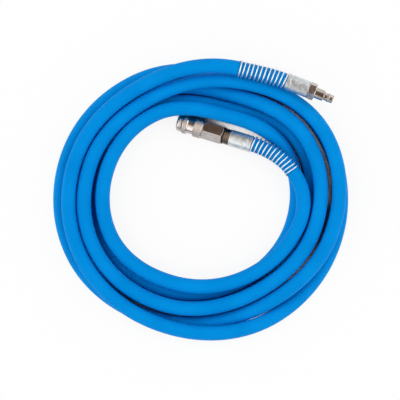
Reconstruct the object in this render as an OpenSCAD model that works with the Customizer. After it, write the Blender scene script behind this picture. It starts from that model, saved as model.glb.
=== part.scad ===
// Coiled compressed-air hose with a quick coupler, a plug, ferrules and anti-kink springs.
// Millimetres, +Z up. The coil lies on z = 0 and the origin is under the middle of its outline.

/* [Hose] */
// Outside diameter of the hose
hose_d = 16; // [12:0.5:20]
// Bore of the hose
hose_bore_d = 10; // [8:0.25:12]
// Clear height left between the lower and the upper layer of turns
layer_gap = 1.4; // [1:0.1:4]

/* [Hose ends] */
// Length of a crimped ferrule
ferrule_l = 25.5; // [18:0.5:35]
// Wall of a ferrule
ferrule_wall = 1; // [0.6:0.1:2]
// Wire of the anti-kink springs
kink_wire_d = 1.6; // [1:0.1:2]
// Pitch of the anti-kink springs
kink_pitch = 4.65; // [3:0.05:6]
// Number of curls in an anti-kink spring
kink_curls = 11.25; // [8:0.25:13]

/* [Plug] */
// Width across the flats of the plug's hexagon
plug_hex_af = 17; // [15:1:24]
// Length of the plug's hexagon
plug_hex_l = 8.5; // [6:0.5:12]
// Diameter of the plug's shank, which fills the socket
plug_shank_d = 12; // [10:0.1:14.4]
// Gap between the plug's hexagon and the mouth of a coupler that holds it
plug_shoulder_gap = 0.2; // [0.1:0.1:3]
// Diameter of the plug's tip, which goes through the seal
plug_tip_d = 9; // [8:0.1:10]
// Air passage through the plug and the hose tail
air_bore_d = 6; // [4:0.5:6.5]

/* [Coupler] */
// Width across the flats of the coupler's hexagon
coupler_hex_af = 19; // [19:1:27]
// Length of the coupler's hexagon
coupler_hex_l = 23; // [22:0.2:32]
// Wall of the ball cage round the socket
cage_wall = 1.9; // [1.6:0.1:2.4]
// How far a locked ball reaches into the socket
ball_grip = 1.3; // [1:0.1:1.6]
// Wall that the locking sleeve keeps outside the balls
sleeve_wall = 1.6; // [1.4:0.1:3]
// Travel of the locking sleeve
sleeve_travel = 3.5; // [3:0.1:6]
// Travel of the valve
valve_travel = 5; // [4:0.5:6]

/* [Hidden] */
$fn = 48;

// Number of locking balls, one for each ball node
ball_count = 6;

// Fits: radial play of sliding pairs, of a plug in the socket and its seal, of screwed joints, of loose
// pieces, of the anti-kink springs and of the balls under the sleeve's ramp
slide_play = 0.05;
socket_play = 0.1;
screw_play = 0.05;
loose_play = 0.2;
kink_play = 0.3;
ramp_play = 0.1;
// Axial gap between pieces that stop against each other
stop_gap = 0.1;
// Wall that a small bead, lip or land keeps
small_wall = 0.8;

// How the hose was laid down, clockwise from the coupler to the plug. Each row is one turn, and each
// number is the centre line's radius, in millimetres for a 16 mm hose, at one eighth of a turn.
lay_hose_d = 16;
lay = [
    [114, 105, 102.8, 108.6, 104.8, 99.2, 89.8, 104.6],
    [107.3, 107.7, 113, 117.5, 111, 106.8, 97.6, 122],
    [124.5, 124.4, 129.8, 134.4, 128.5, 124, 113.8, 131],
    [131.8, 124.8, 128.8, 131, 124, 117.3, 128.6, 151.6],
    [151.2, 141.6, 147, 155.4, 151, 141.2, 133, 150],
    [157, 158.2, 150.8, 148.3, 141.3, 134, 142.8]
];
// Where the hose changes layer: [first eighth, last eighth, layer before, layer after]
climbs = [
    [6.3, 7.4, 1, 0],
    [21.6, 22.75, 0, 1],
    [32.4, 34.05, 1, 0],
    [40.4, 41.4, 0, 1],
    [44.2, 45.9, 1, 1.75]
];
// Where the coupler's tip and side lie, where the plug's ferrule has its mouth, and how far the hose's end
// curves reach
lay_coupler = [-46.6, 79];
lay_plug = [54, 145.2];
lay_reach_in = [52, 35];
lay_reach_out = [18, 18];
// How far the coupler's axis rises, how far the plug points aside and how far each hexagon is turned
coupler_tilt = 8.5;
plug_turn = -4.5;
coupler_hex_turn = 9;
plug_hex_turn = 18;
floor_gap = 0.3;
// Rings of the hose in one eighth of a turn and in its two end curves, and sides of its tube
eighth_rings = 3;
in_rings = 16;
out_rings = 6;
hose_sides = 8;
// Steps in one hose ring spacing when the gap is measured
gap_steps = 4;
// Share of the diameter by which the hose is flattened where it lies on the floor
floor_cut = 0.1;
// Rings in one curl of a spring, and sides of its wire
curl_rings = 8;
sleeve_curl_rings = 12;
wire_sides = 6;

// Lengths along the coupler's axis, from its mouth towards the hose
cage_rim = 0.8;
cage_nose_l = 6.1;
ball_r = (cage_wall + ball_grip) / 2;
pocket_front_z = cage_nose_l + small_wall;
ball_z = pocket_front_z + loose_play + ball_r + sleeve_travel;
ball_relief = ball_r + 0.4;
ring_end_z = ball_z + 0.8;
seal_z = ball_z + 4.8;
seal_half_l = 1.2;
seat_z = seal_z + 3.9;
tail_hold = 2;
sleeve_spring_solid = 3.9;
collar_z = ring_end_z + sleeve_travel + 3.2;
sleeve_end_z = collar_z + tail_hold;
collar_floor_z = sleeve_end_z + sleeve_travel + sleeve_spring_solid;
cage_end_z = collar_floor_z + 5.5;
hex_z = collar_floor_z + 0.6;
body_end_z = hex_z + coupler_hex_l;
washer_t = 1;
band_l = 7.2;
tail_flange_z = body_end_z + washer_t + band_l;
ferrule_end_z = tail_flange_z + ferrule_l;
head_z = seat_z + 1;
head_l = 2.7;
valve_spring_z = head_z + head_l;
valve_spring_solid = 12;
guide_z = valve_spring_z + valve_travel + valve_spring_solid;
guide_t = 2.5;

// Hose
lay_k = hose_d / lay_hose_d;
hose_r = hose_d / 2;
bore_r = hose_bore_d / 2;
low_z = hose_r - floor_cut * hose_d;
layer_h = hose_d + layer_gap;

// Hose ends
ferrule_ir = hose_r + loose_play;
ferrule_or = ferrule_ir + ferrule_wall;
flange_t = 1.2;
neck_r = air_bore_d / 2 + 2.4;
barb_r = bore_r * cos(180 / hose_sides) - loose_play;
barb_root_r = barb_r - 0.5;
barb_count = 5;
barb_end = 2;
barb_l = ferrule_l - flange_t - loose_play - barb_end;
barb_pitch = barb_l / barb_count;
kink_r = hose_r + kink_play + kink_wire_d / 2;
kink_l = kink_pitch * kink_curls;
air_r = air_bore_d / 2;

// Plug: its shank reaches from its hexagon, just outside a coupler's mouth, to the groove for the balls
ball_room = 0.1;
groove_slope_l = 1;
plug_shank_l = ball_z - ball_r - ball_room - groove_slope_l + plug_shoulder_gap;

// Coupler: radii
socket_r = plug_shank_d / 2 + socket_play;
cage_r = socket_r + cage_wall;
ball_rest_r = cage_r - ball_r;
ball_free_r = socket_r + ball_r;
ball_lift = ball_free_r - ball_rest_r;
ball_slope = ball_lift / sleeve_travel;
ramp_r = ball_rest_r + ball_r * sqrt(1 + ball_slope * ball_slope) + ramp_play;
pocket_r = ball_free_r + ball_r + ramp_play;
sleeve_r = pocket_r + sleeve_wall;
ramp_z = ball_z - (pocket_r - ramp_r) / ball_slope;
land_r = cage_r + slide_play;
land_z = ball_z + (ramp_r - land_r) / ball_slope;
sleeve_wire_d = 0.8;
sleeve_spring_r = (cage_r + loose_play / 2 + sleeve_wire_d / 2) / cos(180 / sleeve_curl_rings);
sleeve_tail_or = sleeve_spring_r + sleeve_wire_d / 2 + loose_play;
collar_ir = sleeve_tail_or + slide_play;
cage_thread_r = cage_r - 0.4;
seat_r = plug_tip_d / 2 + socket_play;
seal_wire_r = 1;
seal_groove_r = seat_r + 2 * seal_wire_r;
chamber_r = cage_r - 1.6;
rear_wall = 1.9;
rear_r = coupler_hex_af / 2 - rear_wall;
spring_room_r = rear_r - 1.8;
band_r = rear_r + 1.4;
rib_count = 3;
rib_pitch = band_l / rib_count;
rib_depth = 0.8;

// Valve
head_r = chamber_r - 0.5;
nose_r = seat_r - 0.3;
nose_z = seat_z - 3.9;
nose_hole_d = 5;
boss_r = spring_room_r - 2.1;
boss_l = 2;
stem_r = 2;
stem_end_z = guide_z + guide_t + 2.5;
valve_wire_d = 0.8;
valve_spring_r = boss_r + 0.5 + valve_wire_d / 2;

// The route of the hose: its points in one eighth of a turn, its ends and its frame
stations = [for (turn = lay) for (r = turn) r * lay_k];
last_station = len(stations) - 1;
function station(i) =
    i < 0 ? 2 * stations[0] - stations[1]
    : i > last_station ? 2 * stations[last_station] - stations[last_station - 1]
    : stations[i];
// A smooth curve through four values, at share t between the second and the third
function smooth(a, b, c, d, t) =
    b + t / 2 * (c - a + t * (2 * a - 5 * b + 4 * c - d + t * (3 * (b - c) + d - a)));
function radius_at(q) =
    let (i = min(floor(q), last_station - 1))
    smooth(station(i - 1), station(i), station(i + 1), station(i + 2), q - i);
function ease(t) = (1 - cos(180 * max(0, min(1, t)))) / 2;
function layer_at(q) =
    let (done = [for (c = climbs) if (q >= c[0]) c])
    len(done) == 0 ? climbs[0][2]
    : let (c = done[len(done) - 1])
        c[2] + (c[3] - c[2]) * ease((q - c[0]) / (c[1] - c[0]));
function coil_at(q) =
    [radius_at(q) * cos(-45 * q), radius_at(q) * sin(-45 * q), low_z + layer_h * layer_at(q)];
function unit(v) = v / norm(v);
function bezier(p, t) =
    pow(1 - t, 3) * p[0] + 3 * t * pow(1 - t, 2) * p[1] + 3 * t * t * (1 - t) * p[2] + pow(t, 3) * p[3];

// Ends: the coupler's mouth rests just above the floor, and its axis rises towards the hose
coupler_axis = [cos(coupler_tilt), 0, sin(coupler_tilt)];
coupler_mouth = [
    lay_coupler[0] * lay_k, lay_coupler[1] * lay_k - sleeve_r,
    sleeve_r * cos(coupler_tilt) + floor_gap - cage_nose_l * sin(coupler_tilt)
];
coupler_out = coupler_mouth + ferrule_end_z * coupler_axis;
plug_way = [cos(plug_turn), sin(plug_turn), 0];
plug_in = [lay_plug[0] * lay_k, lay_plug[1] * lay_k, coil_at(last_station)[2]];
hose_start = coupler_out - (ferrule_l - flange_t - loose_play) * coupler_axis;
hose_end = plug_in + (ferrule_l - flange_t - loose_play) * plug_way;
start_way = unit(coil_at(0.01) - coil_at(0));
end_way = unit(coil_at(last_station) - coil_at(last_station - 0.01));
lead_in = [
    coupler_out, coupler_out + lay_reach_in[0] * lay_k * coupler_axis,
    coil_at(0) - lay_reach_in[1] * lay_k * start_way, coil_at(0)
];
lead_out = [
    coil_at(last_station), coil_at(last_station) + lay_reach_out[0] * lay_k * end_way,
    plug_in - lay_reach_out[1] * lay_k * plug_way, plug_in
];
function route(n) = concat(
    [hose_start],
    [for (i = [0 : in_rings * n - 1]) bezier(lead_in, i / (in_rings * n))],
    [for (i = [0 : last_station * eighth_rings * n - 1]) coil_at(i / (eighth_rings * n))],
    [for (i = [0 : out_rings * n]) bezier(lead_out, i / (out_rings * n))],
    [hose_end]
);

// The direction of a run of points at each point
function way(p, i) = unit(p[min(i + 1, len(p) - 1)] - p[max(i - 1, 0)]);
// A ring of points round a place, with one flat side down, and no point below the floor
function level_ring(c, along, r, sides) =
    let (side = unit(cross(along, [0, 0, 1])), up = cross(side, along))
    [for (k = [0 : sides - 1])
        let (a = 360 * (k + 0.5) / sides, p = c + r * (cos(a) * side + sin(a) * up))
        [p[0], p[1], max(p[2], 0)]];
// The least gap between wires or strands of diameter d, leaving out the points next to each other
function least_gap(p, d, skip) =
    min([for (i = [0 : len(p) - 1 - skip]) min([for (j = [i + skip : len(p) - 1]) norm(p[i] - p[j])])]) - d;

route_points = route(1);
hose_rings = [for (i = [0 : len(route_points) - 1])
    level_ring(route_points[i], way(route_points, i), hose_r, hose_sides)];
bore_rings = [for (i = [0 : len(route_points) - 1])
    level_ring(route_points[i], way(route_points, i), bore_r, hose_sides)];

// The hose's line inside the anti-kink springs, from each ferrule's mouth, and places evenly spaced on it
lead_steps = 80;
coupler_lead = [for (i = [0 : lead_steps]) bezier(lead_in, i / lead_steps)];
plug_lead = concat(
    [for (i = [0 : lead_steps]) bezier(lead_out, 1 - i / lead_steps)],
    [for (i = [1 : lead_steps]) coil_at(last_station - i / lead_steps)]
);
function lengths(p) =
    [for (i = 0, s = 0; i < len(p); i = i + 1, s = s + (i < len(p) ? norm(p[i] - p[i - 1]) : 0)) s];
function line_tables(p) =
    let (run = lengths(p)) [for (k = [0 : 2]) [for (i = [0 : len(p) - 1]) [run[i], p[i][k]]]];
function line_at(tables, s) = [for (k = [0 : 2]) lookup(s, tables[k])];
function kink_places(p, ahead) =
    let (tables = line_tables(p), n = kink_curls * curl_rings)
    [for (i = [0 : n]) line_at(tables, stop_gap + kink_wire_d / 2 + kink_l * i / n + ahead)];

// Middle of the outline, which is moved to the origin
outline_x = [for (ring = hose_rings) for (p = ring) p[0]];
outline_y = [for (ring = hose_rings) for (p = ring) p[1]];
plug_edge_y = max([for (p = kink_places(plug_lead, 0)) p[1]]) + kink_r + kink_wire_d / 2;
middle = [
    (min(outline_x) + max(outline_x)) / 2,
    (min(outline_y) + max(max(outline_y), plug_edge_y)) / 2,
    0
];

// Triangles between the rings of a tube, and a flat end on it
function skin(rings, sides, first, flip) =
    [for (i = [0 : rings - 2]) for (k = [0 : sides - 1]) for (half = [0, 1])
        let (
            a = first + i * sides + k, b = first + i * sides + (k + 1) % sides,
            c = a + sides, d = b + sides,
            t = half == 0 ? [a, b, d] : [a, d, c]
        )
        flip ? [t[2], t[1], t[0]] : t];
function cap(sides, first, flip) =
    [for (k = [1 : sides - 2])
        flip ? [first, first + k + 1, first + k] : [first, first + k, first + k + 1]];
function rim(sides, outer, inner, flip) =
    [for (k = [0 : sides - 1]) for (half = [0, 1])
        let (
            n = (k + 1) % sides,
            t = half == 0 ? [outer + k, inner + k, inner + n] : [outer + k, inner + n, outer + n]
        )
        flip ? [t[2], t[1], t[0]] : t];

// A solid wire through rings of points
module wire(rings) {
    sides = len(rings[0]);
    last = (len(rings) - 1) * sides;
    polyhedron(
        [for (ring = rings) for (p = ring) p],
        concat(skin(len(rings), sides, 0, true), cap(sides, 0, false), cap(sides, last, true))
    );
}

// A tube with a bore, through rings of points of its outside and its inside
module pipe(outer, inner) {
    sides = len(outer[0]);
    count = len(outer);
    inside = count * sides;
    last = (count - 1) * sides;
    polyhedron(
        concat([for (ring = outer) for (p = ring) p], [for (ring = inner) for (p = ring) p]),
        concat(
            skin(count, sides, 0, false), skin(count, sides, inside, true),
            rim(sides, 0, inside, false), rim(sides, last, inside + last, true)
        )
    );
}

// A ring of a wire that curls round a centre line, at the line's place c and way along
function curl_ring(c, along, r, angle, wire_r, rise) =
    let (
        side = unit(cross(along, [0, 0, 1])), up = cross(side, along),
        out = cos(angle) * side + sin(angle) * up,
        round_way = cos(angle) * up - sin(angle) * side,
        wire_way = unit(r * round_way + rise * along),
        third = cross(wire_way, out)
    )
    [for (k = [0 : wire_sides - 1])
        let (a = 360 * k / wire_sides)
        c + r * out + wire_r * (cos(a) * out + sin(a) * third)];
// The corners of a curl lie over the corners of the hose
function curl_angle(i) = 360 * (i + 0.5) / curl_rings;
function curls_along(places, ways, r, curls, wire_r, length) =
    [for (i = [0 : len(places) - 1])
        curl_ring(places[i], ways[i], r, curl_angle(i), wire_r, length / curls / (2 * PI))];
function curl_centres(places, ways, r) =
    [for (i = [0 : len(places) - 1])
        let (
            a = curl_angle(i),
            side = unit(cross(ways[i], [0, 0, 1])), up = cross(side, ways[i])
        )
        places[i] + r * (cos(a) * side + sin(a) * up)];

module at_middle() { translate(-middle) children(); }

// Along the coupler's axis, from its mouth towards the hose
module on_coupler() {
    at_middle() translate(coupler_mouth) rotate([0, 90 - coupler_tilt, 0]) children();
}

// Along the plug's axis, from the ferrule's mouth towards the plug's tip
module on_plug() {
    at_middle() translate(plug_in) rotate([0, 0, plug_turn]) rotate([0, 90, 0]) children();
}

module turned(points) { rotate_extrude() polygon(points); }

module ring(inner, outer, z0, z1) { turned([[inner, z0], [outer, z0], [outer, z1], [inner, z1]]); }

// A hexagonal bar with bevelled ends
module hex_bar(af, z0, z1, turn) {
    corner = af / sqrt(3);
    low_r = af / 2 - 0.2;
    high_r = corner + 1;
    bevel = (high_r - low_r) * 0.7;
    intersection() {
        translate([0, 0, z0]) rotate([0, 0, turn]) cylinder(r = corner, h = z1 - z0, $fn = 6);
        turned([[0, z0], [low_r, z0], [high_r, z0 + bevel], [high_r, z1 - bevel], [low_r, z1], [0, z1]]);
    }
}

// Points of a barbed tail, from its free end at z0 up to its neck
function barbs(z0) = concat(
    [[air_r, z0], [barb_root_r, z0]],
    [for (i = [0 : barb_count - 1]) for (p = [[barb_r, 0.75], [barb_root_r, 0.75]])
        [p[0], z0 + barb_pitch * (i + p[1])]],
    [[barb_root_r, z0 + barb_l], [neck_r, z0 + barb_l]]
);

module ferrule(flange_low) {
    z_flange = flange_low ? 0 : ferrule_l - flange_t;
    groove_z = flange_low ? ferrule_l - 5 : 5;
    difference() {
        ring(neck_r + screw_play, ferrule_or, 0, ferrule_l);
        translate([0, 0, flange_low ? flange_t : -1]) cylinder(r = ferrule_ir, h = ferrule_l - flange_t + 1);
        ring(ferrule_or - 0.3, ferrule_or + 1, groove_z, groove_z + small_wall);
    }
}

module hose_coil() {
    echo(hose_least_gap = least_gap(route(gap_steps), hose_d, 6 * gap_steps));
    color("deepskyblue") at_middle() pipe(hose_rings, bore_rings);
}

module plug_body() {
    shank_z = ferrule_l + plug_hex_l;
    groove_z = shank_z + plug_shank_l;
    shank_r = plug_shank_d / 2;
    tip_r = plug_tip_d / 2;
    groove_r = socket_r - ball_grip - 0.5;
    groove_low_z = groove_z + groove_slope_l;
    groove_top_z = groove_low_z + 2 * (ball_r + ball_room);
    bead_r = groove_r + 0.8;
    tip_z = groove_top_z + 2.4;
    end_z = (groove_low_z + groove_top_z) / 2 + seat_z - ball_z;
    color("rosybrown") on_plug() difference() {
        union() {
            hex_bar(plug_hex_af, ferrule_l, shank_z, plug_hex_turn);
            turned(concat(
                [[0, barb_end]], [for (p = barbs(barb_end)) if (p[0] > air_r) p],
                [[neck_r, ferrule_l], [shank_r, ferrule_l],
                [shank_r, groove_z], [groove_r, groove_low_z], [groove_r, groove_top_z],
                [bead_r, groove_top_z + 0.6], [bead_r, groove_top_z + 1.8], [tip_r, tip_z],
                [tip_r, end_z - 1], [tip_r - 0.7, end_z], [0, end_z]]
            ));
        }
        translate([0, 0, 1]) cylinder(r = air_r, h = end_z);
    }
}

module plug_ferrule() { color("gainsboro") on_plug() ferrule(false); }

// An anti-kink spring round the hose's line p, from a ferrule's mouth
module kink_spring(p) {
    places = kink_places(p, 0);
    before = kink_places(p, -1);
    after = kink_places(p, 1);
    ways = [for (i = [0 : len(places) - 1]) unit(after[i] - before[i])];
    echo(kink_spring_gap = least_gap(curl_centres(places, ways, kink_r), kink_wire_d, 6));
    at_middle() wire(curls_along(places, ways, kink_r, kink_curls, kink_wire_d / 2, kink_l));
}

module plug_spring() { color("lightgray") kink_spring(plug_lead); }

module coupler_ferrule() {
    color("gainsboro") on_coupler() translate([0, 0, tail_flange_z]) ferrule(true);
}

module coupler_spring() { color("lightgray") kink_spring(coupler_lead); }

module hose_tail() {
    z0 = guide_z + guide_t;
    band_z = body_end_z + washer_t;
    end_z = ferrule_end_z - barb_end;
    color("dimgray") on_coupler() union() {
        ring(air_r, rear_r - screw_play, z0, band_z);
        for (i = [0 : rib_count - 1]) translate([0, 0, band_z + i * rib_pitch])
            turned([[air_r, 0], [band_r - rib_depth, 0], [band_r, rib_pitch * 0.35],
                [band_r, rib_pitch * 0.65], [band_r - rib_depth, rib_pitch], [air_r, rib_pitch]]);
        translate([0, 0, end_z]) mirror([0, 0, 1]) turned(concat(
            barbs(0), [[neck_r, ferrule_l - barb_end], [air_r, ferrule_l - barb_end]]
        ));
    }
}

module tail_washer() {
    color("black") on_coupler() ring(rear_r + screw_play, rear_r + 1.7, body_end_z, body_end_z + washer_t);
}

module coupler_body() {
    edge = 0.5;
    color("rosybrown") on_coupler() difference() {
        union() {
            turned([[0, collar_z], [sleeve_r - edge, collar_z], [sleeve_r, collar_z + edge],
                [sleeve_r, hex_z - edge], [sleeve_r - edge, hex_z], [0, hex_z]]);
            hex_bar(coupler_hex_af, hex_z, body_end_z, coupler_hex_turn);
        }
        translate([0, 0, collar_z - 1]) cylinder(r = collar_ir, h = collar_floor_z - collar_z + 1);
        translate([0, 0, collar_z]) cylinder(r = cage_thread_r + screw_play, h = cage_end_z + 1.3 - collar_z);
        translate([0, 0, collar_z]) cylinder(r = spring_room_r, h = body_end_z);
        translate([0, 0, guide_z]) cylinder(r = rear_r, h = body_end_z);
    }
}

module ball_cage() {
    relief_r = socket_r + 0.2;
    color("rosybrown") on_coupler() difference() {
        turned([[socket_r + small_wall, 0], [cage_r - 0.6, 0], [cage_r, 0.6], [cage_r, collar_floor_z],
            [cage_thread_r, collar_floor_z], [cage_thread_r, cage_end_z], [chamber_r, cage_end_z],
            [chamber_r, seat_z], [seat_r, seat_z], [seat_r, seal_z + seal_half_l],
            [seal_groove_r, seal_z + seal_half_l], [seal_groove_r, seal_z - seal_half_l],
            [relief_r, seal_z - seal_half_l], [relief_r, ball_z - ball_relief],
            [socket_r, ball_z - ball_relief], [socket_r, small_wall]]);
        for (i = [0 : ball_count - 1]) rotate([0, 0, ball_angle(i)])
            translate([socket_r - 1, 0, ball_z]) rotate([0, 90, 0])
                cylinder(r = ball_r + slide_play, h = cage_r - socket_r + 2);
    }
}

function ball_angle(i) = 360 * (i + 0.5) / ball_count;

module locking_ball(i) {
    color("silver") on_coupler() rotate([0, 0, ball_angle(i)]) translate([ball_rest_r, 0, ball_z])
        sphere(r = ball_r);
}

module stop_ring() {
    edge = 0.5;
    r = cage_r + 2;
    z1 = cage_nose_l - stop_gap;
    groove_z = (cage_rim + z1) / 2;
    groove_d = 0.4;
    color("rosybrown") on_coupler() turned([
        [cage_r + screw_play, cage_rim], [r - 2 * edge, cage_rim], [r, cage_rim + 2 * edge],
        [r, groove_z], [r - groove_d, groove_z + groove_d], [r - groove_d, groove_z + 2 * groove_d],
        [r, groove_z + 3 * groove_d], [r, z1 - edge], [r - edge, z1], [cage_r + screw_play, z1]
    ]);
}

module locking_sleeve() {
    edge = 1;
    color("rosybrown") on_coupler() turned([
        [land_r, cage_nose_l], [sleeve_r - edge, cage_nose_l], [sleeve_r, cage_nose_l + 1.4 * edge],
        [sleeve_r, ring_end_z - 1.4 * edge], [sleeve_r - edge, ring_end_z], [sleeve_tail_or, ring_end_z],
        [sleeve_tail_or, sleeve_end_z], [land_r, sleeve_end_z], [land_r, land_z], [pocket_r, ramp_z],
        [pocket_r, pocket_front_z], [land_r, pocket_front_z]
    ]);
}

// A coil spring along the coupler's axis, between two flat faces
module coupler_coil(z0, z1, r, curls, wire_d, steps) {
    n = curls * steps;
    low = z0 + wire_d / 2 + slide_play;
    high = z1 - wire_d / 2 - slide_play;
    pitch = (high - low) / curls;
    rings = [for (i = [0 : n])
        let (
            a = 360 * i / steps, out = [cos(a), sin(a), 0],
            wire_way = unit([-r * sin(a), r * cos(a), pitch / (2 * PI)]),
            third = cross(wire_way, out)
        )
        [for (k = [0 : wire_sides - 1])
            [0, 0, low + (high - low) * i / n] + r * out
            + wire_d / 2 * (cos(360 * k / wire_sides) * out + sin(360 * k / wire_sides) * third)]];
    on_coupler() wire(rings);
}

module sleeve_spring() {
    color("silver") coupler_coil(
        sleeve_end_z, collar_floor_z, sleeve_spring_r, 3.5, sleeve_wire_d, sleeve_curl_rings
    );
}

module plug_seal() {
    color("black") on_coupler() translate([0, 0, seal_z]) rotate_extrude()
        translate([seal_groove_r - seal_wire_r - slide_play, 0]) circle(r = seal_wire_r);
}

module body_o_ring() {
    wire_r = 0.6;
    color("black") on_coupler() translate([0, 0, cage_end_z + wire_r + slide_play]) rotate_extrude()
        translate([cage_thread_r - wire_r, 0]) circle(r = wire_r);
}

module valve_poppet() {
    hole_d = 2.4;
    color("goldenrod") on_coupler() difference() {
        turned([[0, nose_z], [nose_r, nose_z], [nose_r, head_z], [head_r, head_z], [head_r, head_z + head_l],
            [boss_r, head_z + head_l], [boss_r, head_z + head_l + boss_l], [stem_r, head_z + head_l + boss_l],
            [stem_r, stem_end_z], [0, stem_end_z]]);
        translate([0, 0, nose_z - 1]) cylinder(d = nose_hole_d, h = seat_z - nose_z + 1);
        for (i = [0 : 3]) rotate([0, 0, 90 * i])
            translate([0, 0, seat_z - hole_d / 2 - 0.4]) rotate([0, 90, 0]) cylinder(d = hole_d, h = nose_r + 1);
    }
}

module valve_seal() {
    color("black") on_coupler() ring(nose_r + slide_play, head_r, seat_z + slide_play, head_z);
}

module valve_spring() {
    color("silver") coupler_coil(valve_spring_z, guide_z, valve_spring_r, 6, valve_wire_d, curl_rings);
}

module valve_guide() {
    holes = 6;
    hole_d = 2.2;
    hole_ring_r = stem_r + slide_play + 0.8 + hole_d / 2;
    color("goldenrod") on_coupler() difference() {
        ring(stem_r + slide_play, rear_r - screw_play, guide_z, guide_z + guide_t);
        for (i = [0 : holes - 1]) rotate([0, 0, 360 * i / holes])
            translate([hole_ring_r, 0, guide_z - 1]) cylinder(d = hole_d, h = guide_t + 2);
    }
}

hose_coil();
plug_body();
plug_ferrule();
plug_spring();
coupler_ferrule();
coupler_spring();
hose_tail();
tail_washer();
coupler_body();
ball_cage();
stop_ring();
locking_sleeve();
sleeve_spring();
locking_ball(0);  // locking_ball_1
locking_ball(1);  // locking_ball_2
locking_ball(2);  // locking_ball_3
locking_ball(3);  // locking_ball_4
locking_ball(4);  // locking_ball_5
locking_ball(5);  // locking_ball_6
plug_seal();
body_o_ring();
valve_poppet();
valve_seal();
valve_spring();
valve_guide();
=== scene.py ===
"""Coiled air hose: the visible model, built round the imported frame. Metres, +Z up."""

import math

import bmesh
import bpy
from mathutils import Matrix, Vector


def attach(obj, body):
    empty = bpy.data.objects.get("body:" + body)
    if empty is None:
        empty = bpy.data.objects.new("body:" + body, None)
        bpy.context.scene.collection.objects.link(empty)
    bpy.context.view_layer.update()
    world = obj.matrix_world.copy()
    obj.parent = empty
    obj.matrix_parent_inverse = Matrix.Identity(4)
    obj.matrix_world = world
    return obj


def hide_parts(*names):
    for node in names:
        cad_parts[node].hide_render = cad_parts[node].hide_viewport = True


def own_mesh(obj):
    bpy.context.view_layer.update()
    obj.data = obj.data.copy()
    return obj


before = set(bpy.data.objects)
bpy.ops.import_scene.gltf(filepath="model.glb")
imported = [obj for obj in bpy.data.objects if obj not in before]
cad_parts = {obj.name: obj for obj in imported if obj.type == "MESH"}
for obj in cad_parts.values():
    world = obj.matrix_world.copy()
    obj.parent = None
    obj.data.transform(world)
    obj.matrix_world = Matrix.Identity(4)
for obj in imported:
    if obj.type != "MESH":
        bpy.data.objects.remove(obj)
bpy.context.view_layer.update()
scene = bpy.context.scene
MM = 0.001
UP = Vector((0, 0, 1))

# The lay of the hose, in millimetres, as in the part's source. Each row is one turn, clockwise from the
# coupler to the plug, and each number is the centre line's radius at one eighth of a turn
HOSE_R = 8.0
LAY = [
    [114, 105, 102.8, 108.6, 104.8, 99.2, 89.8, 104.6],
    [107.3, 107.7, 113, 117.5, 111, 106.8, 97.6, 122],
    [124.5, 124.4, 129.8, 134.4, 128.5, 124, 113.8, 131],
    [131.8, 124.8, 128.8, 131, 124, 117.3, 128.6, 151.6],
    [151.2, 141.6, 147, 155.4, 151, 141.2, 133, 150],
    [157, 158.2, 150.8, 148.3, 141.3, 134, 142.8],
]
STATIONS = [r for turn in LAY for r in turn]
LAST = len(STATIONS) - 1
# Where the hose changes layer: first eighth, last eighth, layer before, layer after
CLIMBS = [(6.3, 7.4, 1, 0), (21.6, 22.75, 0, 1), (32.4, 34.05, 1, 0), (40.4, 41.4, 0, 1),
          (44.2, 45.9, 1, 1.75)]
LOW_Z = 6.4
LAYER_H = 17.4
# Middle of the outline, which is the frame's origin
MIDDLE = Vector((3.00595, -1.32302, 0))

# Heights of the coupler's parts along its axis, from its mouth
NOSE_Z = 0.8
SLEEVE_Z = 6.1
GRIP_END_Z = 13.0
COLLAR_Z = 19.7
SLEEVE_END_Z = 21.7
VALVE_SPRING_Z = 24.6
COLLAR_FLOOR_Z = 29.1
HEX_Z = 29.7
CAGE_SEAT_Z = 35.9
GUIDE_Z = 41.6
TAIL_Z = 44.1
BODY_END_Z = 52.7
BAND_Z = 53.7
TAIL_FLANGE_Z = 60.9
BARB_END_Z = 84.4
# Radii, widths across flats and turns of the fittings
CAGE_BORE_R = 8.05
SLEEVE_R = 9.4
COLLAR_BORE_R = 9.45
GRIP_R = 11.0
BAND_R = 8.2
NECK_R = 5.4
BARB_R = 3.92
AIR_R = 3.0
COUPLER_AF = 19
COUPLER_HEX_TURN = math.radians(9)
PLUG_AF = 17
PLUG_HEX_TURN = math.radians(18)
# Ferrules, how far the hose goes into one, and how far a neck goes through its flange
FERRULE_L = 25.5
FERRULE_R = 9.2
HOSE_IN = 24.1
NECK_L = FERRULE_L - HOSE_IN
# Heights of the plug's parts along its axis, from its ferrule's mouth
PLUG_BARB_Z = 2.0
PLUG_SHANK_Z = 34.0
PLUG_END_Z = 55.1

# Where the two ends lie and point, and how far the hose's end curves reach
TILT = math.radians(8.5)
COUPLER_AXIS = Vector((math.cos(TILT), 0, math.sin(TILT)))
COUPLER_MOUTH = Vector((-46.6, 68, 10.2775))
COUPLER_OUT = COUPLER_MOUTH + (TAIL_FLANGE_Z + FERRULE_L) * COUPLER_AXIS
PLUG_TURN = math.radians(-4.5)
PLUG_WAY = Vector((math.cos(PLUG_TURN), math.sin(PLUG_TURN), 0))
PLUG_IN = Vector((54, 145.2, 36.85))
REACH_IN = (52, 35)
REACH_OUT = (18, 18)
# Fine steps in the lead-in, in one eighth of a turn and in the lead-out, and on the springs' centre lines
LEAD_IN_STEPS = 120
EIGHTH_STEPS = 48
LEAD_OUT_STEPS = 80
LEAD_STEPS = 400


# The route


def station(i):
    """The radius at a station, carried on straight past either end."""
    if i < 0:
        return 2 * STATIONS[0] - STATIONS[1]
    if i > LAST:
        return 2 * STATIONS[LAST] - STATIONS[LAST - 1]
    return STATIONS[i]


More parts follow.
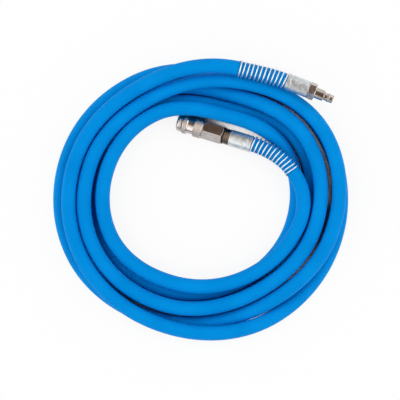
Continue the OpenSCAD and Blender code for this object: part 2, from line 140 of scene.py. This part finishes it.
def radius_at(q):
    """A smooth curve through the stations, at q eighths of a turn."""
    i = min(int(math.floor(q)), LAST - 1)
    a, b, c, d = (station(i + k) for k in (-1, 0, 1, 2))
    t = q - i
    return b + t / 2 * (c - a + t * (2 * a - 5 * b + 4 * c - d + t * (3 * (b - c) + d - a)))


def layer_at(q):
    layer = CLIMBS[0][2]
    for start, end, before, after in CLIMBS:
        if q >= start:
            t = max(0.0, min(1.0, (q - start) / (end - start)))
            layer = before + (after - before) * (1 - math.cos(math.pi * t)) / 2
    return layer


def coil_at(q):
    a = -math.pi / 4 * q
    r = radius_at(q)
    return Vector((r * math.cos(a), r * math.sin(a), LOW_Z + LAYER_H * layer_at(q)))


def bezier(p, t):
    s = 1 - t
    return s ** 3 * p[0] + 3 * t * s * s * p[1] + 3 * t * t * s * p[2] + t ** 3 * p[3]


START_WAY = (coil_at(0.01) - coil_at(0)).normalized()
END_WAY = (coil_at(LAST) - coil_at(LAST - 0.01)).normalized()
LEAD_IN = (COUPLER_OUT, COUPLER_OUT + REACH_IN[0] * COUPLER_AXIS,
           coil_at(0) - REACH_IN[1] * START_WAY, coil_at(0))
LEAD_OUT = (coil_at(LAST), coil_at(LAST) + REACH_OUT[0] * END_WAY,
            PLUG_IN - REACH_OUT[1] * PLUG_WAY, PLUG_IN)


def lengths(points):
    """The length along a line of points, up to each of them."""
    run = [0.0]
    for a, b in zip(points[:-1], points[1:]):
        run.append(run[-1] + (b - a).length)
    return run


def resample(points, step):
    """Evenly spaced points on a line of points, about step apart."""
    run = lengths(points)
    count = max(2, round(run[-1] / step))
    out = []
    k = 0
    for i in range(count + 1):
        s = run[-1] * i / count
        while k < len(run) - 2 and run[k + 1] < s:
            k += 1
        t = (s - run[k]) / (run[k + 1] - run[k])
        out.append(points[k].lerp(points[k + 1], min(1.0, t)))
    return out


def route(step):
    """Evenly spaced points of the hose's centre line, about step millimetres apart."""
    fine = [COUPLER_OUT - HOSE_IN * COUPLER_AXIS]
    fine += [bezier(LEAD_IN, i / LEAD_IN_STEPS) for i in range(LEAD_IN_STEPS)]
    fine += [coil_at(i / EIGHTH_STEPS) for i in range(LAST * EIGHTH_STEPS)]
    fine += [bezier(LEAD_OUT, i / LEAD_OUT_STEPS) for i in range(LEAD_OUT_STEPS + 1)]
    fine.append(PLUG_IN + HOSE_IN * PLUG_WAY)
    return resample([p - MIDDLE for p in fine], step)


def ways(points):
    """The way that a line runs at each of its points."""
    last = len(points) - 1
    return [(points[min(i + 1, last)] - points[max(i - 1, 0)]).normalized() for i in range(last + 1)]


def centre_line(line):
    """A function that gives the place and the way on a line of points, at a length along it."""
    points = resample([p - MIDDLE for p in line], 0.25)
    along = ways(points)
    step = (points[1] - points[0]).length

    def centre(s):
        x = max(0.0, s / step)
        i = min(int(x), len(points) - 2)
        return points[i].lerp(points[i + 1], x - i), along[i].lerp(along[i + 1], x - i).normalized()

    return centre


COUPLER_LEAD = centre_line([bezier(LEAD_IN, i / LEAD_STEPS) for i in range(LEAD_STEPS + 1)])
PLUG_LEAD = centre_line([bezier(LEAD_OUT, 1 - i / LEAD_STEPS) for i in range(LEAD_STEPS + 1)]
                        + [coil_at(LAST - i / LEAD_STEPS) for i in range(1, LEAD_STEPS // 4 + 1)])


# Materials


def new_material(name):
    mat = bpy.data.materials.new(name)
    mat.use_nodes = True
    nodes, links = mat.node_tree.nodes, mat.node_tree.links
    return mat, nodes, links, nodes["Principled BSDF"]


def surface_coords(nodes, kind):
    return nodes.new("ShaderNodeTexCoord").outputs[kind]


def noise(nodes, links, coords, scale, detail=3.0, stretch=None):
    """A noise value on these coordinates, which stretch may scale along each axis first."""
    if stretch:
        mapping = nodes.new("ShaderNodeMapping")
        mapping.inputs["Scale"].default_value = stretch
        links.new(coords, mapping.inputs["Vector"])
        coords = mapping.outputs["Vector"]
    tex = nodes.new("ShaderNodeTexNoise")
    tex.inputs["Scale"].default_value = scale
    tex.inputs["Detail"].default_value = detail
    links.new(coords, tex.inputs["Vector"])
    return tex.outputs["Fac"]


def spread(nodes, links, value, low, high):
    """Maps a noise value of about 0.3 to 0.7 onto low to high."""
    span = nodes.new("ShaderNodeMapRange")
    span.inputs["From Min"].default_value = 0.3
    span.inputs["From Max"].default_value = 0.7
    span.inputs["To Min"].default_value = low
    span.inputs["To Max"].default_value = high
    links.new(value, span.inputs["Value"])
    return span.outputs["Result"]


def fill_ramp(ramp, stops):
    """Sets a colour ramp to these stops of (position, colour)."""
    elements = ramp.color_ramp.elements
    while len(elements) < len(stops):
        elements.new(0.5)
    for element, (position, colour) in zip(elements, stops):
        element.position = position
        element.color = (*colour, 1)


def two_tone(nodes, links, value, dark, light):
    """A colour between dark and light, by a noise value."""
    ramp = nodes.new("ShaderNodeValToRGB")
    fill_ramp(ramp, [(0.32, dark), (0.68, light)])
    links.new(value, ramp.inputs["Fac"])
    return ramp.outputs["Color"]


def bumped(nodes, links, shader, height, strength, distance):
    bump = nodes.new("ShaderNodeBump")
    bump.inputs["Strength"].default_value = strength
    bump.inputs["Distance"].default_value = distance
    links.new(height, bump.inputs["Height"])
    links.new(bump.outputs["Normal"], shader.inputs["Normal"])


def hose_material():
    """Satin blue cover: faint lengthwise die lines, fine grain and slow changes of shade."""
    dark, light = (0.0, 0.235, 0.66), (0.001, 0.265, 0.72)
    mat, nodes, links, shader = new_material("hose_blue")
    uv = surface_coords(nodes, "UV")
    place = surface_coords(nodes, "Object")
    shade = noise(nodes, links, place, 28.0, 4.0)
    links.new(two_tone(nodes, links, shade, dark, light), shader.inputs["Base Color"])
    lines = noise(nodes, links, uv, 1.0, 2.0, stretch=(12.0, 900.0, 1.0))
    grain = noise(nodes, links, place, 1900.0, 2.0)
    both = nodes.new("ShaderNodeMath")
    both.operation = "ADD"
    links.new(lines, both.inputs[0])
    links.new(grain, both.inputs[1])
    bumped(nodes, links, shader, both.outputs["Value"], 0.12, 0.0002)
    links.new(spread(nodes, links, shade, 0.46, 0.58), shader.inputs["Roughness"])
    shader.inputs["Specular IOR Level"].default_value = 0.06
    shader.inputs["Specular Tint"].default_value = (0.15, 0.55, 1.0, 1)
    return mat


def metal_material(name, dark, light, rough, turning, blotch=90.0, bump=0.1):
    """Plated metal with turning marks round the axis and slow changes of tone."""
    mat, nodes, links, shader = new_material(name)
    uv = surface_coords(nodes, "UV")
    place = surface_coords(nodes, "Object")
    tone = noise(nodes, links, place, blotch, 4.0)
    links.new(two_tone(nodes, links, tone, dark, light), shader.inputs["Base Color"])
    shader.inputs["Metallic"].default_value = 1.0
    marks = noise(nodes, links, uv, 1.0, 2.0, stretch=(20.0, turning, 1.0))
    bumped(nodes, links, shader, marks, bump, 0.00005)
    links.new(spread(nodes, links, tone, *rough), shader.inputs["Roughness"])
    return mat


def plain_metal(name, dark, light, rough):
    """Metal with fine marks all over, for pieces without turning marks."""
    mat, nodes, links, shader = new_material(name)
    place = surface_coords(nodes, "Object")
    tone = noise(nodes, links, place, 150.0, 4.0)
    links.new(two_tone(nodes, links, tone, dark, light), shader.inputs["Base Color"])
    shader.inputs["Metallic"].default_value = 1.0
    marks = noise(nodes, links, place, 4000.0, 2.0)
    bumped(nodes, links, shader, marks, 0.08, 0.00005)
    links.new(spread(nodes, links, tone, *rough), shader.inputs["Roughness"])
    return mat


def rubber_material():
    """Black rubber with a fine grain."""
    dark, light = (0.012, 0.012, 0.013), (0.028, 0.027, 0.026)
    mat, nodes, links, shader = new_material("seal_rubber")
    place = surface_coords(nodes, "Object")
    tone = noise(nodes, links, place, 400.0)
    links.new(two_tone(nodes, links, tone, dark, light), shader.inputs["Base Color"])
    bumped(nodes, links, shader, noise(nodes, links, place, 6000.0, 2.0), 0.2, 0.0001)
    links.new(spread(nodes, links, tone, 0.5, 0.65), shader.inputs["Roughness"])
    return mat


NICKEL_LOOK = ((0.50, 0.44, 0.40), (0.62, 0.55, 0.50), (0.13, 0.22))
HOSE_BLUE = hose_material()
NICKEL = metal_material("nickel", *NICKEL_LOOK, turning=9000.0)
DARK_NICKEL = metal_material("dark_nickel", (0.09, 0.062, 0.042), (0.22, 0.16, 0.11), (0.18, 0.28),
                             turning=5000.0)
ZINC = metal_material("zinc", (0.56, 0.59, 0.60), (0.80, 0.82, 0.82), (0.34, 0.48),
                      turning=4000.0, blotch=260.0, bump=0.3)
SPRING_WIRE = metal_material("spring_wire", (0.80, 0.82, 0.84), (0.93, 0.94, 0.95), (0.24, 0.34),
                             turning=600.0)
CAGE_NICKEL = plain_metal("cage_nickel", *NICKEL_LOOK)
BALL_STEEL = plain_metal("ball_steel", (0.66, 0.66, 0.68), (0.76, 0.76, 0.78), (0.06, 0.12))
INNER_WIRE = plain_metal("inner_wire", (0.68, 0.69, 0.70), (0.80, 0.81, 0.82), (0.18, 0.28))
BRASS = plain_metal("brass", (0.62, 0.43, 0.16), (0.78, 0.58, 0.26), (0.22, 0.34))
RUBBER = rubber_material()


# Mesh helpers


def finish_mesh(name, verts, faces, uvs, material, slot, node, body="hose"):
    """A smooth object of these points that replaces a node. uvs has a pair for each corner of each face."""
    mesh = bpy.data.meshes.new(name)
    mesh.from_pydata(verts, [], faces)
    layer = mesh.uv_layers.new(name="UVMap")
    corners = [corner for face in uvs for corner in face]
    for loop, uv in zip(layer.data, corners):
        loop.uv = uv
    mesh.materials.append(material)
    for poly in mesh.polygons:
        poly.use_smooth = True
    mesh.update()
    obj = bpy.data.objects.new(name, mesh)
    scene.collection.objects.link(obj)
    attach(obj, body)
    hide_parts(node)
    return obj


def tube(rings, girth, run):
    """Points, faces and surface coordinates of a closed tube with flat ends."""
    sides = len(rings[0])
    verts = [p for ring in rings for p in ring]
    faces, uvs = [], []
    for i in range(len(rings) - 1):
        for k in range(sides):
            n = (k + 1) % sides
            faces.append((i * sides + k, i * sides + n, (i + 1) * sides + n, (i + 1) * sides + k))
            a, b = girth * k / sides, girth * (k + 1) / sides
            uvs.append(((run[i], a), (run[i], b), (run[i + 1], b), (run[i + 1], a)))
    last = (len(rings) - 1) * sides
    faces.append(tuple(range(sides - 1, -1, -1)))
    uvs.append(tuple((run[0], girth * k / sides) for k in range(sides)))
    faces.append(tuple(range(last, last + sides)))
    uvs.append(tuple((run[-1], girth * k / sides) for k in range(sides)))
    return verts, faces, uvs


def across(way):
    """The level way and the rising way square to a line."""
    side = way.cross(UP).normalized()
    return side, side.cross(way)


def circle_angles(sides):
    return [2 * math.pi * k / sides for k in range(sides)]


# The hose


def settle(z, edge=0.5):
    """Keeps a point of the hose on the floor, with a rounded edge to the flat that it rests on."""
    if z > 2 * edge:
        return z
    t = max(0.0, (z + 2 * edge) / (4 * edge))
    return 2 * edge * t * t


def make_hose(step=4.0, sides=32):
    """The hose, its centre line in metres and its length."""
    points = route(step)
    run = [s * MM for s in lengths(points)]
    rings = []
    for p, way in zip(points, ways(points)):
        side, up = across(way)
        ring = []
        for a in circle_angles(sides):
            q = p + HOSE_R * (math.cos(a) * side + math.sin(a) * up)
            ring.append((q.x * MM, q.y * MM, settle(q.z) * MM))
        rings.append(ring)
    skin = tube(rings, 2 * math.pi * HOSE_R * MM, run)
    hose = finish_mesh("hose", *skin, HOSE_BLUE, "hose", "hose_coil")
    return hose, [tuple(p * MM) for p in points], run[-1]


# Springs


def wound_wire(name, spine, outs, wire_r, place, material, node, sides=12):
    """Round wire along a spine in millimetres, with the way out from the coil's axis at each point."""
    rings = []
    for p, way, out in zip(spine, ways(spine), outs):
        third = way.cross(out).normalized()
        rings.append([tuple(place @ (p + wire_r * (math.cos(a) * out + math.sin(a) * third)))
                      for a in circle_angles(sides)])
    run = [s * MM for s in lengths(spine)]
    skin = tube(rings, 2 * math.pi * wire_r * MM, run)
    return finish_mesh(name, *skin, material, "spring_wire", node)


def make_kink_spring(name, centre, node):
    """An anti-kink spring. centre(s) gives its centre line, s millimetres from the ferrule."""
    wire_r, mean_r, steps = 0.8, 9.1, 32
    open_curls, closed_curls = 11.0, 1.0
    open_pitch, closed_pitch = 4.65, 1.75
    first, start_angle = 0.9, math.pi / 8
    spine, outs = [], []
    for i in range(int((open_curls + closed_curls) * steps) + 1):
        turn = i / steps
        s = first + open_pitch * min(turn, open_curls) + closed_pitch * max(0.0, turn - open_curls)
        place, way = centre(s)
        side, up = across(way)
        a = 2 * math.pi * turn + start_angle
        out = math.cos(a) * side + math.sin(a) * up
        spine.append(place + mean_r * out)
        outs.append(out)
    return wound_wire(name, spine, outs, wire_r, Matrix.Scale(MM, 4), SPRING_WIRE, node)


def make_inner_spring(name, z0, z1, mean_r, curls, node):
    """A spring inside the coupler, wound from z0 up to its seat at z1."""
    wire_r, steps, play = 0.4, 32, 0.05
    low, high = z0 + wire_r + play, z1 - wire_r - play
    count = int(curls * steps)
    spine, outs = [], []
    for i in range(count + 1):
        a = 2 * math.pi * i / steps
        out = Vector((math.cos(a), math.sin(a), 0))
        spine.append(mean_r * out + (low + (high - low) * i / count) * UP)
        outs.append(out)
    spring = wound_wire(name, spine, outs, wire_r, ON_COUPLER, INNER_WIRE, node)
    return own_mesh(spring)


# Turned pieces


def frame_of(origin, z_way):
    """Matrix from a fitting's own millimetres, along its axis, to the row's metres."""
    z = z_way.normalized()
    y = UP.cross(z).normalized()
    x = y.cross(z).normalized()
    m = Matrix((x, y, z)).transposed().to_4x4()
    m.translation = origin
    return Matrix.Scale(MM, 4) @ m


ON_COUPLER = frame_of(COUPLER_MOUTH - MIDDLE, COUPLER_AXIS)
ON_PLUG = frame_of(PLUG_IN - MIDDLE, PLUG_WAY)


def rounded(points, radius, steps=3):
    """A closed outline of (radius, height, mark, corner radius) with its corners rounded.

    A point without a corner radius of its own takes the one given, and a corner takes less than half a side.
    """
    most_of_side, shortest, straight = 0.45, 1e-4, -0.995
    out = []
    n = len(points)
    for i, p in enumerate(points):
        a, b, c = Vector(points[i - 1][:2]), Vector(p[:2]), Vector(points[(i + 1) % n][:2])
        mark = p[2] if len(p) > 2 else ""
        r = p[3] if len(p) > 3 else radius
        u, v = a - b, c - b
        reach = min(r, most_of_side * u.length, most_of_side * v.length)
        u.normalize()
        v.normalize()
        if reach < shortest or u.dot(v) < straight:
            out.append((b.x, b.y, mark))
            continue
        start, end = b + u * reach, b + v * reach
        for k in range(steps + 1):
            t = k / steps
            q = start.lerp(b, t).lerp(b.lerp(end, t), t)
            out.append((q.x, q.y, mark))
    return out


def on_circle(r, a):
    return r * Vector((math.cos(a), math.sin(a)))


def hexagon(af, turn, corner=0.35, flat_steps=6, corner_steps=4):
    """Angles round a hexagon with rounded corners, and the radius at each."""
    sixth = math.pi / 3
    corner_out = (af / 2 - corner) / math.cos(sixth / 2)
    out = []
    for k in range(6):
        a0 = turn + sixth * k
        mid = on_circle(corner_out, a0)
        following = on_circle(corner_out, a0 + sixth)
        for j in range(corner_steps + 1):
            out.append(mid + on_circle(corner, a0 - sixth / 2 + sixth * j / corner_steps))
        lift = on_circle(corner, a0 + sixth / 2)
        for j in range(1, flat_steps):
            out.append((mid + lift).lerp(following + lift, j / flat_steps))
    return [(math.atan2(p.y, p.x), p.length) for p in out]


def revolve(name, outline, place, material, slot, node, body="hose", hexes=None, sides=96, shape=None):
    """A turned piece from an outline of (radius, height, mark). Points marked hex keep inside a hexagon."""
    around = hexes or [(a, math.inf) for a in circle_angles(sides)]
    count = len(around)
    verts, faces, uvs = [], [], []
    for r, z, mark in outline:
        for a, limit in around:
            rr = min(r, limit) if mark == "hex" else r
            if shape:
                rr = shape(rr, z, a)
            verts.append(place @ Vector((rr * math.cos(a), rr * math.sin(a), z)))
    n = len(outline)
    run = [0.0]
    for p, q in zip(outline, outline[1:] + outline[:1]):
        run.append(run[-1] + math.hypot(q[0] - p[0], q[1] - p[1]) * MM)
    for i in range(n):
        j = (i + 1) % n
        girth = 2 * math.pi * max(outline[i][0], 1.0) * MM
        for k in range(count):
            m = (k + 1) % count
            faces.append((i * count + k, i * count + m, j * count + m, j * count + k))
            a, b = girth * k / count, girth * (k + 1) / count
            uvs.append(((a, run[i]), (b, run[i]), (b, run[i + 1]), (a, run[i + 1])))
    obj = finish_mesh(name, verts, faces, uvs, material, slot, node, body)
    work = bmesh.new()
    work.from_mesh(obj.data)
    bmesh.ops.recalc_face_normals(work, faces=work.faces)
    work.to_mesh(obj.data)
    work.free()
    even = obj.modifiers.new("even_normals", "WEIGHTED_NORMAL")
    even.keep_sharp = True
    return obj


def chamfer(af, z0, z1, inset=0.2, slope=0.7, steps=8):
    """The outside of a hexagon with bevelled ends, from z0 to z1."""
    low_r, high_r = af / 2 - inset, af / math.sqrt(3)
    rise = high_r - low_r
    low = [(low_r + rise * k / steps, z0 + slope * rise * k / steps, "hex", 0) for k in range(steps + 1)]
    high = [(r, z1 - (z - z0), "hex", 0) for r, z, *_ in reversed(low)]
    return low + high


def divided(outline, radius, step=0.2):
    """The outline with more points where it runs straight along the axis at this radius."""
    near = 1e-3
    out = []
    for p, q in zip(outline, outline[1:] + outline[:1]):
        out.append(p)
        count = int(abs(q[1] - p[1]) / step)
        if abs(p[0] - radius) < near and abs(q[0] - radius) < near and count > 1:
            out += [(radius, p[1] + (q[1] - p[1]) * k / count, p[2]) for k in range(1, count)]
    return out


def knurl(radius, z0, z1, count=44, pitch=1.6, depth=0.3, flank=1.5):
    """A diamond knurl cut into the stretch from z0 to z1: two families of crossing grooves."""
    margin = 0.02

    def shape(r, z, a):
        if r < radius - margin or not z0 < z < z1:
            return r
        u, v = count * a / (2 * math.pi), z / pitch
        ridge = min(1 - abs(2 * ((u + s * v) % 1.0) - 1) for s in (-1, 1))
        return r - depth * (1 - min(1.0, flank * ridge))

    return shape


def make_sleeve():
    """The sliding sleeve: a knurled grip in front, a ramp for the balls inside and a plain tail."""
    grip_z0, grip_z1, grip_end_r = 7.5, 11.6, 10.0
    lip_z, ramp_z0, ramp_z1 = 6.9, 8.988, 12.622
    outline = rounded([
        (CAGE_BORE_R, SLEEVE_Z), (grip_end_r, SLEEVE_Z, "", 0.5),
        (GRIP_R, grip_z0, "", 0.9), (GRIP_R, grip_z1, "", 0.9),
        (grip_end_r, GRIP_END_Z, "", 0.5), (SLEEVE_R, GRIP_END_Z, "", 0.1),
        (SLEEVE_R, SLEEVE_END_Z), (CAGE_BORE_R, SLEEVE_END_Z),
        (CAGE_BORE_R, ramp_z1), (SLEEVE_R, ramp_z0), (SLEEVE_R, lip_z), (CAGE_BORE_R, lip_z),
    ], 0.12)
    return revolve("sleeve", divided(outline, GRIP_R), ON_COUPLER, NICKEL, "nickel", "locking_sleeve",
                   body="sleeve", sides=352, shape=knurl(GRIP_R, 7.9, 11.2))


def make_stop_ring():
    """The ring on the coupler's nose, with a turned groove."""
    ring_r, groove_r, end_z = 10.0, 9.6, 6.0
    outline = rounded([
        (CAGE_BORE_R, NOSE_Z), (9.0, NOSE_Z), (ring_r, 1.8, "", 0.4), (ring_r, 3.4), (groove_r, 3.8),
        (groove_r, 4.2), (ring_r, 4.6), (ring_r, 5.5), (9.5, end_z), (CAGE_BORE_R, end_z),
    ], 0.12)
    return revolve("nose_ring", outline, ON_COUPLER, NICKEL, "nickel", "stop_ring")


def make_coupler_body():
    """The coupler's body: a knurled collar and a long hexagon, bored in steps."""
    rear_r, room_r, cage_r, edge_r, edge = 7.6, 5.8, 7.65, 10.5, 0.5
    outline = rounded([
        (COLLAR_BORE_R, COLLAR_Z), (edge_r, COLLAR_Z, "", 0.2), (GRIP_R, COLLAR_Z + edge, "", 0.3),
        (GRIP_R, HEX_Z - edge, "", 0.3), (edge_r, HEX_Z, "", 0.1),
        *chamfer(COUPLER_AF, HEX_Z, BODY_END_Z),
        (rear_r, BODY_END_Z), (rear_r, GUIDE_Z), (room_r, GUIDE_Z), (room_r, CAGE_SEAT_Z),
        (cage_r, CAGE_SEAT_Z), (cage_r, COLLAR_FLOOR_Z), (COLLAR_BORE_R, COLLAR_FLOOR_Z),
    ], 0.1)
    return revolve("coupler_hexagon", divided(outline, GRIP_R), ON_COUPLER, NICKEL, "nickel", "coupler_body",
                   hexes=hexagon(COUPLER_AF, COUPLER_HEX_TURN, flat_steps=54),
                   shape=knurl(GRIP_R, 20.6, 28.6))


def make_tail():
    """The hose tail: a screwed front, the ribbed band that shows, a neck and the barb in the hose."""
    screw_r, rib_r, rib_pitch = 7.55, 9.0, 2.4
    ribs = []
    for k in range(3):
        z = BAND_Z + rib_pitch * k
        ribs += [(BAND_R, z, "", 0.25), (rib_r, z + 0.84, "", 0.35), (rib_r, z + 1.56, "", 0.35)]
    outline = rounded([
        (AIR_R, TAIL_Z), (screw_r, TAIL_Z), (screw_r, BAND_Z), *ribs, (BAND_R, TAIL_FLANGE_Z),
        (NECK_R, TAIL_FLANGE_Z), (NECK_R, TAIL_FLANGE_Z + NECK_L), (BARB_R, TAIL_FLANGE_Z + NECK_L),
        (BARB_R, BARB_END_Z), (AIR_R, BARB_END_Z),
    ], 0.1)
    return revolve("tail_ribs", outline, ON_COUPLER, DARK_NICKEL, "dark_nickel", "hose_tail")


def make_washer():
    inner_r, outer_r = 7.65, 9.3
    outline = rounded([
        (inner_r, BODY_END_Z), (outer_r, BODY_END_Z), (outer_r, BAND_Z), (inner_r, BAND_Z),
    ], 0.35)
    return revolve("rear_washer", outline, ON_COUPLER, RUBBER, "seal", "tail_washer", sides=64)


def ferrule_outline(z0, flange_low):
    """A crimped sleeve: flange at one end, a rolled groove near its open end."""
    bore_r, neck_hole_r, groove_r, flange_t = 8.2, 5.45, 8.9, 1.2
    points = [
        (neck_hole_r, 0.0), (FERRULE_R, 0.0, "", 0.5),
        (FERRULE_R, 20.2, "", 0.15), (groove_r, 20.5, "", 0.1), (groove_r, 21.3, "", 0.1),
        (FERRULE_R, 21.6, "", 0.15), (FERRULE_R, FERRULE_L, "", 0.35), (bore_r, FERRULE_L, "", 0.3),
        (bore_r, flange_t), (neck_hole_r, flange_t),
    ]
    if not flange_low:
        points = [(r, FERRULE_L - z, *rest) for r, z, *rest in points]
    return [(r, z0 + z, mark) for r, z, mark in rounded(points, 0.1)]


def make_coupler_ferrule():
    return revolve("coupler_sleeve", ferrule_outline(TAIL_FLANGE_Z, True), ON_COUPLER, ZINC, "zinc",
                   "coupler_ferrule")


def make_plug_ferrule():
    return revolve("plug_sleeve", ferrule_outline(0.0, False), ON_PLUG, ZINC, "zinc", "plug_ferrule")


def make_plug():
    """The plug: a barb in the hose, a hexagon, a shank, a groove for the balls, a collar and a tip."""
    shank_r, groove_r, collar_r, tip_r = 6.0, 4.3, 5.1, 4.5
    outline = rounded([
        (AIR_R, PLUG_BARB_Z), (BARB_R, PLUG_BARB_Z), (BARB_R, HOSE_IN), (NECK_R, HOSE_IN),
        (NECK_R, FERRULE_L, "", 0),
        *chamfer(PLUG_AF, FERRULE_L, PLUG_SHANK_Z),
        (shank_r, PLUG_SHANK_Z, "", 0.1), (shank_r, 43.7, "", 0.25),
        (groove_r, 44.7, "", 0.3), (groove_r, 48.1, "", 0.2),
        (collar_r, 48.7, "", 0.2), (collar_r, 49.9, "", 0.2),
        (tip_r, 50.5, "", 0.2), (tip_r, 54.1, "", 0.2), (3.8, PLUG_END_Z, "", 0.2), (AIR_R, PLUG_END_Z),
    ], 0.1)
    return revolve("plug", outline, ON_PLUG, NICKEL, "nickel", "plug_body",
                   hexes=hexagon(PLUG_AF, PLUG_HEX_TURN))


# The camera, at the photograph's viewing angle: straight down, turned with the coil
FRAME_WIDTH = 0.440
VIEW_CENTRE = (-0.000713, -0.006032)
FOCUS_Z = 0.016
VIEW_TURN = math.radians(17.3)
LENS = 400.0
SENSOR = 36.0
FAR_CLIP = 20.0


def make_camera():
    data = bpy.data.cameras.new("camera")
    data.lens = LENS
    data.sensor_width = SENSOR
    data.clip_end = FAR_CLIP
    camera = bpy.data.objects.new("camera", data)
    camera.location = (*VIEW_CENTRE, FOCUS_Z + FRAME_WIDTH * LENS / SENSOR)
    camera.rotation_euler = (0, 0, VIEW_TURN)
    scene.collection.objects.link(camera)
    scene.camera = camera


# Floor and light


def make_floor():
    """A white floor. Seen directly or reflected it glows white, with painted shade: an occlusion ramp
    darkens the glow where the object closes it in.
    """
    half_size, white, seen_share = 6.0, 0.9, 0.92
    painted_shade_reach, painted_shade_samples = 0.10, 48
    # Painted shade: near-black navy where the object closes the floor in, faintly grey next to it, white in
    # the open
    painted_shade_stops = [(0.145, (0.0, 0.004, 0.015)), (0.20, (0.94, 0.94, 0.95)), (0.70, (1.0, 1.0, 1.0))]
    corners = [(x * half_size, y * half_size, 0) for x, y in ((-1, -1), (1, -1), (1, 1), (-1, 1))]
    mesh = bpy.data.meshes.new("floor")
    mesh.from_pydata(corners, [], [(0, 1, 2, 3)])
    floor = bpy.data.objects.new("floor", mesh)
    scene.collection.objects.link(floor)
    mat = bpy.data.materials.new("floor_white_with_painted_shade")
    mat.use_nodes = True
    nodes, links = mat.node_tree.nodes, mat.node_tree.links
    nodes.clear()
    out = nodes.new("ShaderNodeOutputMaterial")
    diffuse = nodes.new("ShaderNodeBsdfDiffuse")
    diffuse.inputs["Color"].default_value = (white, white, white, 1)
    open_sky = nodes.new("ShaderNodeAmbientOcclusion")
    open_sky.inputs["Distance"].default_value = painted_shade_reach
    open_sky.samples = painted_shade_samples
    shade = nodes.new("ShaderNodeValToRGB")
    fill_ramp(shade, painted_shade_stops)
    links.new(open_sky.outputs["AO"], shade.inputs["Fac"])
    # The glow is the floor's white and its painted shade together, coloured by the occlusion ramp
    glow_with_painted_shade = nodes.new("ShaderNodeEmission")
    links.new(shade.outputs["Color"], glow_with_painted_shade.inputs["Color"])
    path = nodes.new("ShaderNodeLightPath")
    seen = path.outputs["Is Camera Ray"]
    for name in ("Is Glossy Ray", "Is Transmission Ray"):
        either = nodes.new("ShaderNodeMath")
        either.operation = "MAXIMUM"
        links.new(seen, either.inputs[0])
        links.new(path.outputs[name], either.inputs[1])
        seen = either.outputs["Value"]
    share = nodes.new("ShaderNodeMath")
    share.operation = "MULTIPLY"
    share.inputs[1].default_value = seen_share
    links.new(seen, share.inputs[0])
    mix = nodes.new("ShaderNodeMixShader")
    links.new(share.outputs["Value"], mix.inputs["Fac"])
    links.new(diffuse.outputs["BSDF"], mix.inputs[1])
    links.new(glow_with_painted_shade.outputs["Emission"], mix.inputs[2])
    links.new(mix.outputs["Shader"], out.inputs["Surface"])
    mesh.materials.append(mat)


def make_world():
    """A soft studio: a strip box on each side, a dark stand overhead and pale walls low down."""
    box_stops = [
        (0.00, (0.13, 0.09, 0.07)), (0.26, (0.18, 0.13, 0.105)), (0.42, (1.90, 1.90, 1.90)),
        (0.90, (1.90, 1.90, 1.90)), (1.00, (1.10, 1.10, 1.10)),
    ]
    wall_stops = [(0.25, (0.34, 0.42, 0.50)), (0.70, (0.80, 0.82, 0.85))]
    wall_top, box_bottom = 0.10, 0.45
    world = bpy.data.worlds.new("studio")
    scene.world = world
    world.use_nodes = True
    nodes, links = world.node_tree.nodes, world.node_tree.links
    nodes.clear()
    out = nodes.new("ShaderNodeOutputWorld")
    back = nodes.new("ShaderNodeBackground")
    coords = nodes.new("ShaderNodeTexCoord").outputs["Generated"]
    aside = nodes.new("ShaderNodeVectorMath")
    aside.operation = "DOT_PRODUCT"
    aside.inputs[1].default_value = (math.cos(VIEW_TURN), math.sin(VIEW_TURN), 0)
    links.new(coords, aside.inputs[0])
    either_side = nodes.new("ShaderNodeMath")
    either_side.operation = "ABSOLUTE"
    links.new(aside.outputs["Value"], either_side.inputs[0])
    boxes = nodes.new("ShaderNodeValToRGB")
    fill_ramp(boxes, box_stops)
    links.new(either_side.outputs["Value"], boxes.inputs["Fac"])
    walls = nodes.new("ShaderNodeValToRGB")
    fill_ramp(walls, wall_stops)
    links.new(either_side.outputs["Value"], walls.inputs["Fac"])
    split = nodes.new("ShaderNodeSeparateXYZ")
    links.new(coords, split.inputs["Vector"])
    height = nodes.new("ShaderNodeMapRange")
    height.interpolation_type = "SMOOTHSTEP"
    height.inputs["From Min"].default_value = wall_top
    height.inputs["From Max"].default_value = box_bottom
    links.new(split.outputs["Z"], height.inputs["Value"])
    # Sockets 6 and 7 of a colour mix are its two colours, and its output 2 is the mixed colour
    mix = nodes.new("ShaderNodeMix")
    mix.data_type = "RGBA"
    links.new(height.outputs["Result"], mix.inputs["Factor"])
    links.new(walls.outputs["Color"], mix.inputs[6])
    links.new(boxes.outputs["Color"], mix.inputs[7])
    links.new(mix.outputs[2], back.inputs["Color"])
    links.new(back.outputs["Background"], out.inputs["Surface"])


# The making
make_camera()
hose, hose_path, hose_length = make_hose()
make_kink_spring("coupler_kink_spring", COUPLER_LEAD, "coupler_spring")
plug_spring = make_kink_spring("plug_kink_spring", PLUG_LEAD, "plug_spring")
plug = make_plug()
make_coupler_ferrule()
plug_sleeve = make_plug_ferrule()
make_sleeve()
make_stop_ring()
make_coupler_body()
make_tail()
make_washer()
make_inner_spring("sleeve_return_spring", SLEEVE_END_Z, COLLAR_FLOOR_Z, 8.65, 3.5, "sleeve_spring")
make_inner_spring("valve_return_spring", VALVE_SPRING_Z, GUIDE_Z, 4.6, 6, "valve_spring")

# Looks of the carried-over solids
CAD_LOOKS = {
    "ball_cage": CAGE_NICKEL, "plug_seal": RUBBER, "body_o_ring": RUBBER, "valve_seal": RUBBER,
    "valve_poppet": BRASS, "valve_guide": BRASS,
}
for k in range(6):
    CAD_LOOKS[f"locking_ball_{k + 1}"] = BALL_STEEL
for name, look in CAD_LOOKS.items():
    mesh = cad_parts[name].data
    mesh.materials.clear()
    mesh.materials.append(look)

make_floor()
make_world()
scene.view_settings.view_transform = "Standard"
